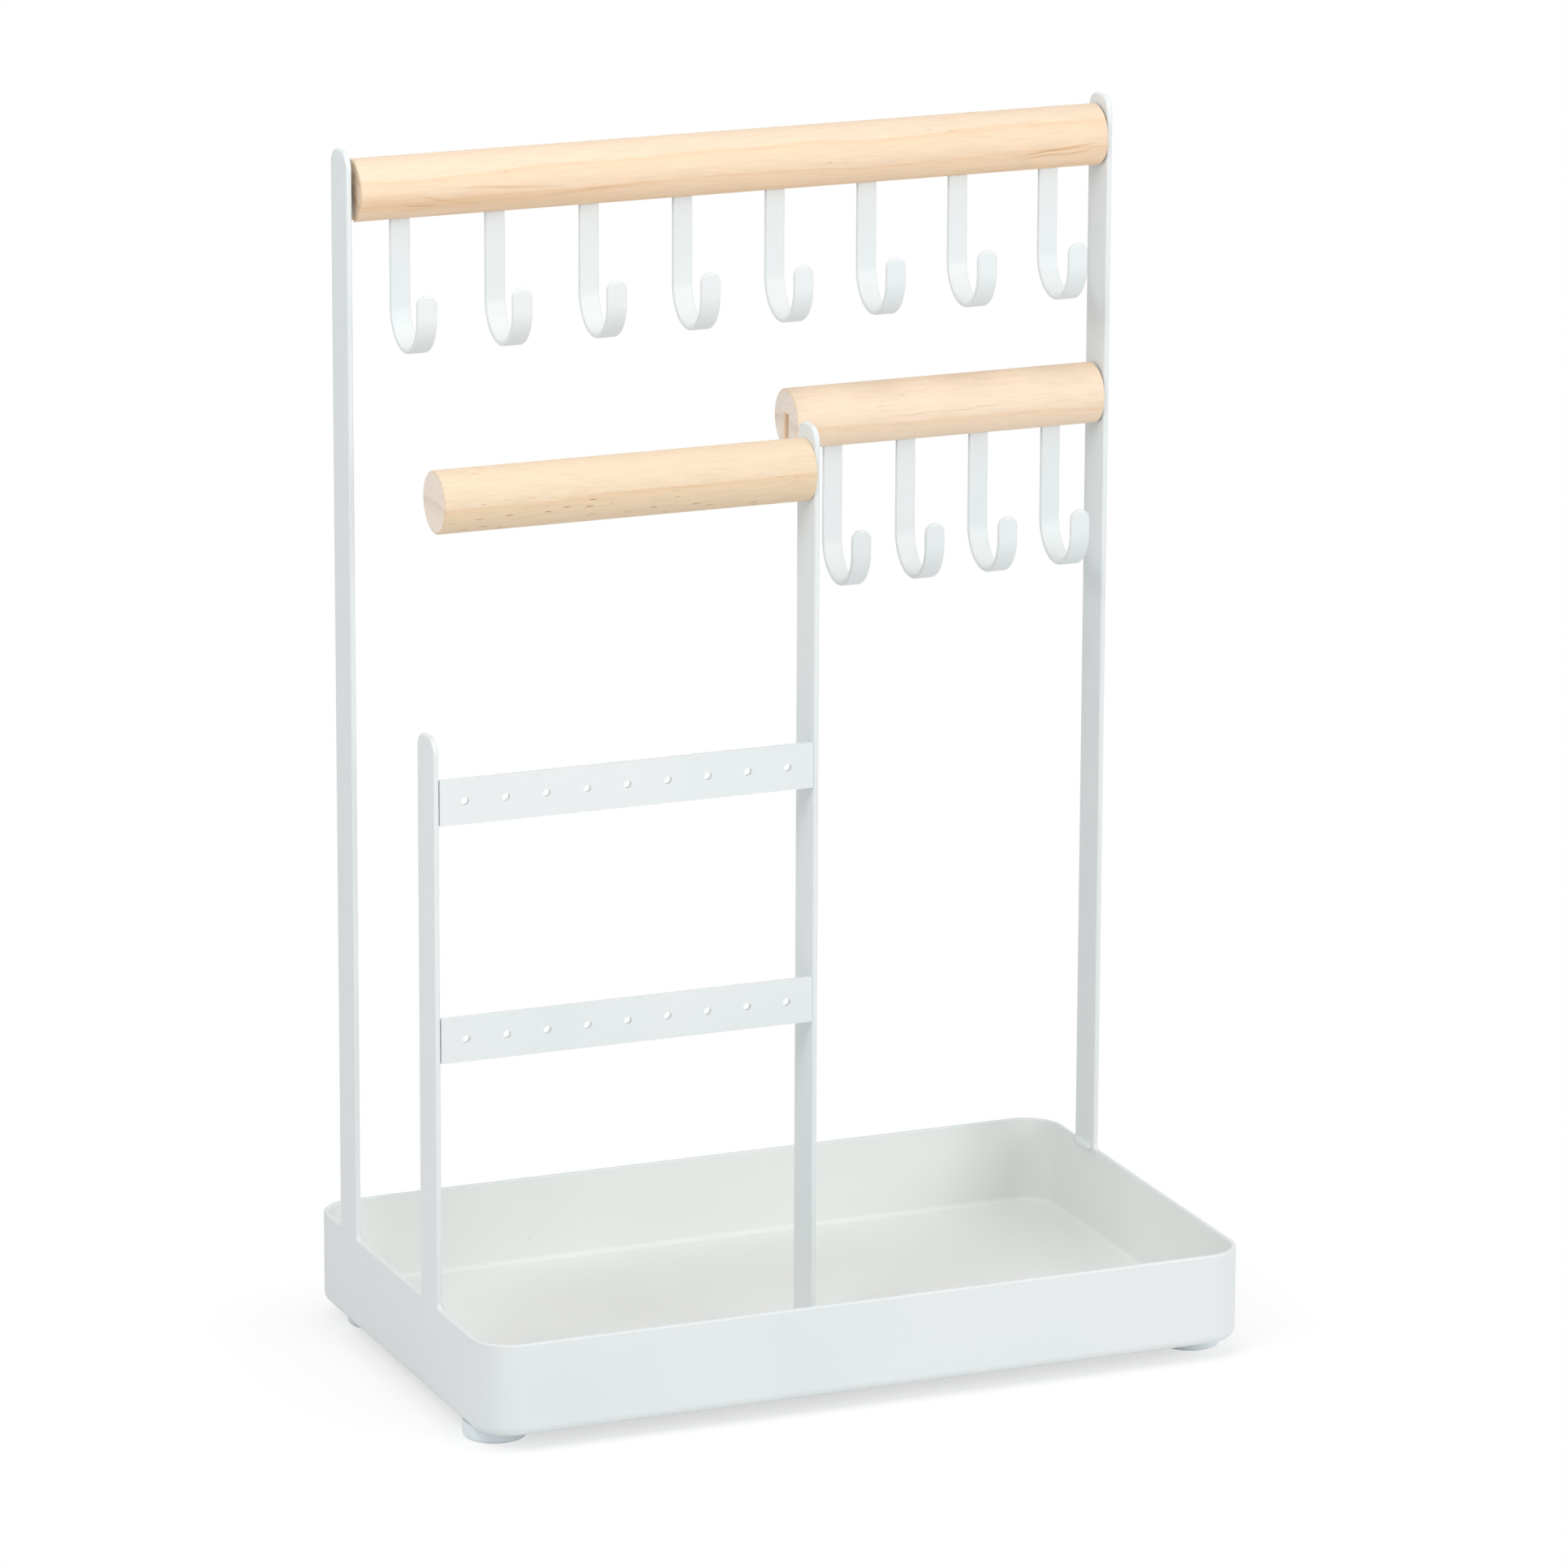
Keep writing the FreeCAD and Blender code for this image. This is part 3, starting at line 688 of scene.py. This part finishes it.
dowel = {"edge": 0.45 * mm, "edgeSteps": 5, "steps": 96, "slotHalf": 1.3 * mm, "slotRise": 1.2 * mm}
grains = {
    "top_dowel": {
        "pith": (0, -5.4 * mm, 30.6 * mm), "tilt": (0, 0.012, -0.008), "ringGap": 5.24 * mm,
        "sway": 4.6 * mm, "start": (0.4, 2.1, 0.3), "ringDepth": 0.65,
        "sap": (0.915, 0.73, 0.55), "heart": (0.955, 0.70, 0.475),
        # ends: darker here as painted shade, for the shaded gap between the rod's end and the post
        "ends": ((0.88, 0.70, 0.53), (0.76, 0.57, 0.40)),
        "dashShare": 0.02, "dashDepth": 0.3, "dashTop": 9 * mm,
        "streaks": [
            (-80, -24, 62, 3.2, -2.5, 0.32), (-81, -28, 9, 0.45, -2, 0.85), (-77, -17, 8, 0.55, -14, 0.6),
            (-60, -5, 15, 0.5, -3, 0.5), (-82, -36, 7, 0.35, 4, 0.6), (-70, -31, 8, 0.35, -6, 0.6),
            (-40, -23, 22, 0.8, 2.5, 0.4),
            (83, -12, 13, 0.5, 7, 0.75), (80, -24, 8, 0.45, 5, 0.65), (88, -20, 6, 0.35, 9, 0.6),
            (-60, 23, 0.9, 0.2, 0, 0.6), (23, -3, 0.9, 0.2, 0, 0.7), (20, 150, 18, 0.6, -4, 0.5),
            (-50, 200, 12, 0.5, 5, 0.5)]},
    "middle_dowel": {
        "pith": (0, -1.3 * mm, 36 * mm), "tilt": (0, -0.012, 0.01), "ringGap": 9.0 * mm,
        "sway": 2.6 * mm, "start": (3.7, 0.6, 1.9), "ringDepth": 0.65,
        "sap": (0.945, 0.765, 0.59), "heart": (0.965, 0.765, 0.575),
        # ends: paler here as painted light, lifting the shade that falls on this rod's free end
        "ends": ((1.0, 0.89, 0.78), (0.92, 0.785, 0.65)),
        "dashShare": 0.02, "dashDepth": 0.3, "dashTop": 9 * mm,
        "streaks": [
            (-4, 3, 26, 0.3, 0.5, 0.3), (-19, 25, 1.2, 0.2, 0, 0.5), (10, 160, 14, 0.5, 3, 0.5)]},
    "front_dowel": {
        "pith": (0, -3.0 * mm, 34.3 * mm), "tilt": (0, 0.01, 0.02), "ringGap": 9.0 * mm,
        "sway": 3.4 * mm, "start": (7.2, 1.3, 4.4), "ringDepth": 0.65,
        "sap": (0.89, 0.715, 0.53), "heart": (0.85, 0.66, 0.455),
        "ends": ((0.98, 0.86, 0.75), (0.90, 0.765, 0.63)),
        "dashShare": 0.5, "dashDepth": 0.85, "dashTop": 2 * mm,
        "streaks": [
            (-38, 64, 1.8, 0.25, 0, 0.6), (5, 2, 30, 0.35, -0.5, 0.3), (0, 170, 15, 0.5, -4, 0.5)]},
}


def dowelSection(radius, inset, slotted):
    size = radius - inset
    if not slotted:
        return circle((0, 0), size, dowel["steps"])
    half = dowel["slotHalf"] + inset
    mouth = math.degrees(math.acos(half / size))
    rise = dowel["slotRise"] + inset
    return arc((0, 0), size, -mouth, 180 + mouth, dowel["steps"]) + [(-half, rise), (half, rise)]


def makeDowel(node, slotted):
    low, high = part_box(node)
    middle = (low + high) / 2
    radius = (high.y - low.y) / 2
    ends = easedEdge(dowel["edge"], dowel["edgeSteps"])
    stations = [(low.x + along, inset) for inset, along in ends]
    stations += [(high.x - along, inset) for inset, along in ends[::-1]]
    bm = bmesh.new()
    caps = loft(bm, [[(x, middle.y + y, middle.z + z) for y, z in dowelSection(radius, inset, slotted)]
                     for x, inset in stations])
    for cap in caps:
        cap.material_index = 1
    grain = {**grains[node], "radius": radius}
    along = pineMaterial(f"{node}_pine", middle, grain)
    across = endGrainMaterial(f"{node}_endGrain", middle, grain)
    settle(newPiece(f"{node}_rod", bm, along, across), "pine", node)


for node in ("top_dowel", "middle_dowel"):
    makeDowel(node, True)
makeDowel("front_dowel", False)
print("dowels made")


# feet: round pads

foot = {"rounding": 0.8 * mm, "edgeSteps": 6, "steps": 96}


def makeFoot(node):
    low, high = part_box(node)
    middle = (low + high) / 2
    radius = (high.x - low.x) / 2
    profile = [(inset, low.z + rise) for inset, rise in easedEdge(foot["rounding"], foot["edgeSteps"])]
    profile += [(0, high.z)]
    bm = bmesh.new()
    loft(bm, [[(*point, z) for point in circle(middle.xy, radius - inset, foot["steps"])]
              for inset, z in profile])
    settle(newPiece(f"{node}_pad", bm, footPad), "foot_pad", node)


for end in ("front", "rear"):
    for side in ("left", "right"):
        makeFoot(f"{end}_{side}_foot")
print("feet made")


# welds: lumpy painted beads along the feet of the posts
# each bead: which way it faces, where its round begins, and where its lumps start

weld = {"stations": 45, "steps": 14, "lumps": 3.5, "lumpShare": 0.34, "endPower": 4, "endLeast": 0.02,
        "beads": {"rear_left_weld": (1, -90, 0.4), "rear_right_weld": (-1, -90, 1.9),
                  "front_left_weld": (1, -90, 2.6), "front_right_weld": (1, 0, 0.9)}}


def makeWeld(node, inward, firstTurn, phase):
    low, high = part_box(node)
    x = low.x if inward > 0 else high.x
    z = low.z if firstTurn == 0 else (low.z + high.z) / 2
    size = high.x - low.x
    bm = bmesh.new()
    loops = []
    for station in range(weld["stations"] + 1):
        share = station / weld["stations"]
        ending = math.sqrt(max(1 - abs(2 * share - 1) ** weld["endPower"], weld["endLeast"]))
        lump = 1 - weld["lumpShare"] * math.sin(math.pi * weld["lumps"] * share + phase) ** 2
        loop = [(0, 0)] + arc((0, 0), size * ending * lump, firstTurn, 90, weld["steps"])
        y = low.y + (high.y - low.y) * share
        loops.append([(x + inward * across, y, z + up) for across, up in loop])
    loft(bm, loops)
    settle(newPiece(f"{node}_bead", bm, whiteCoat), "white_coat", node)


for node, bead in weld["beads"].items():
    makeWeld(node, *bead)
for node, finish in (("top_hook_rail", whiteCoat), ("middle_hook_rail", whiteCoat),
                     ("front_dowel_stud", studSteel)):
    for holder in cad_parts[node].material_slots:
        holder.material = finish
print("welds made, rails and stud finished")


# stage: a white floor that keeps the shadow near the stand, an even dome and three soft lamps

stage = {"floorSize": 9.0, "floorColour": (0.86, 0.86, 0.86, 1), "seenColour": (0.45, 0.45, 0.45, 1),
         "seenGlow": 0.59, "shadowShift": 18 * mm, "shadowTrim": 6 * mm, "fadeStart": 8 * mm,
         "fadeEnd": 40 * mm, "domeStrength": 0.55}
lamps = {"key": {"place": (0.6, -0.9, 0.45), "size": 0.6, "power": 3.4},
         "fill": {"place": (-0.45, -0.3, 0.55), "size": 0.3, "power": 1.2},
         "top": {"place": (0.0, -0.1, 0.8), "size": 0.4, "power": 0.88}}


def backdropRays(tree):
    path = addNode(tree, "ShaderNodeLightPath")
    total = math2(tree, "ADD", (path, "Is Camera Ray"), (path, "Is Glossy Ray"))
    whole = math2(tree, "ADD", (total, 0), (path, "Is Transmission Ray"))
    whole.use_clamp = True
    return whole


def mixShaders(tree, factor, first, second):
    made = addNode(tree, "ShaderNodeMixShader")
    feed(tree, factor, made, 0)
    wire(tree, first, 0, made, 1)
    wire(tree, second, 0, made, 2)
    return made


def makeFloor():
    half = stage["floorSize"] / 2
    mesh = bpy.data.meshes.new("floor")
    corners = [(-half, -half, 0), (half, -half, 0), (half, half, 0), (-half, half, 0)]
    mesh.from_pydata(corners, [], [(0, 1, 2, 3)])
    floor = bpy.data.objects.new("floor", mesh)
    bpy.context.scene.collection.objects.link(floor)
    material = bpy.data.materials.new("floorPaper")
    material.use_nodes = True
    tree = material.node_tree
    tree.nodes.clear()
    paper = addNode(tree, "ShaderNodeBsdfDiffuse", {"Color": stage["floorColour"]})
    seenPaper = addNode(tree, "ShaderNodeBsdfDiffuse", {"Color": stage["seenColour"]})
    glow = addNode(tree, "ShaderNodeEmission", {"Strength": stage["seenGlow"]})
    near = addNode(tree, "ShaderNodeAddShader")
    wire(tree, seenPaper, "BSDF", near, 0)
    wire(tree, glow, "Emission", near, 1)
    far = addNode(tree, "ShaderNodeEmission", {"Strength": 1.0})
    shifted = addNode(tree, "ShaderNodeVectorMath", {1: (0, stage["shadowShift"], 0)}, operation="ADD")
    wire(tree, addNode(tree, "ShaderNodeTexCoord"), "Object", shifted, 0)
    folded = addNode(tree, "ShaderNodeVectorMath", operation="ABSOLUTE")
    wire(tree, shifted, "Vector", folded, 0)
    shade = (cadBox[1].x - stage["shadowTrim"], cadBox[1].y, 0)
    beside = addNode(tree, "ShaderNodeVectorMath", {1: shade}, operation="SUBTRACT")
    wire(tree, folded, "Vector", beside, 0)
    outer = addNode(tree, "ShaderNodeVectorMath", {1: (0, 0, 0)}, operation="MAXIMUM")
    wire(tree, beside, "Vector", outer, 0)
    reach = addNode(tree, "ShaderNodeVectorMath", operation="LENGTH")
    wire(tree, outer, "Vector", reach, 0)
    fade = addNode(tree, "ShaderNodeMapRange", {
        "From Min": stage["fadeStart"], "From Max": stage["fadeEnd"]})
    wire(tree, reach, "Value", fade, "Value")
    seen = mixShaders(tree, (fade, "Result"), near, far)
    whole = mixShaders(tree, (backdropRays(tree), 0), paper, seen)
    wire(tree, whole, "Shader", addNode(tree, "ShaderNodeOutputMaterial"), "Surface")
    mesh.materials.append(material)


def makeDome():
    world = bpy.data.worlds.new("dome")
    bpy.context.scene.world = world
    world.use_nodes = True
    tree = world.node_tree
    tree.nodes.clear()
    sky = addNode(tree, "ShaderNodeBackground", {"Color": (1, 1, 1, 1)})
    level = addNode(tree, "ShaderNodeMapRange", {"To Min": stage["domeStrength"], "To Max": 1.0})
    wire(tree, backdropRays(tree), 0, level, "Value")
    wire(tree, level, "Result", sky, "Strength")
    wire(tree, sky, "Background", addNode(tree, "ShaderNodeOutputWorld"), "Surface")


def makeLamp(name, sizes):
    light = bpy.data.lights.new(name, "AREA")
    light.shape = "DISK"
    light.size = sizes["size"]
    light.energy = sizes["power"]
    lamp = bpy.data.objects.new(name, light)
    lamp.location = sizes["place"]
    middle = Vector((0, 0, (cadBox[0].z + cadBox[1].z) / 2))
    lamp.rotation_euler = (middle - lamp.location).to_track_quat("-Z", "Y").to_euler()
    bpy.context.scene.collection.objects.link(lamp)


makeFloor()
makeDome()
for name, sizes in lamps.items():
    makeLamp(name, sizes)


# camera: where the photograph was taken from

view = {"place": (-0.7788, -1.8716, 0.6909), "azimuth": -22.6247, "elevation": 15.2292, "roll": 0.2496,
        "focalPixels": 10754, "framePixels": 1932, "sensor": 36.0, "clipEnd": 50}


def makeCamera():
    lens = bpy.data.cameras.new("camera")
    lens.sensor_width = view["sensor"]
    lens.lens = view["focalPixels"] / view["framePixels"] * view["sensor"]
    lens.clip_end = view["clipEnd"]
    camera = bpy.data.objects.new("camera", lens)
    turns = [Matrix.Rotation(math.radians(angle), 4, axis) for angle, axis in (
        (view["azimuth"], "Z"), (90 - view["elevation"], "X"), (view["roll"], "Z"))]
    camera.matrix_world = Matrix.Translation(view["place"]) @ turns[0] @ turns[1] @ turns[2]
    bpy.context.scene.collection.objects.link(camera)
    bpy.context.scene.camera = camera


makeCamera()
bpy.context.scene.view_settings.view_transform = "Standard"
print("stage and camera set")
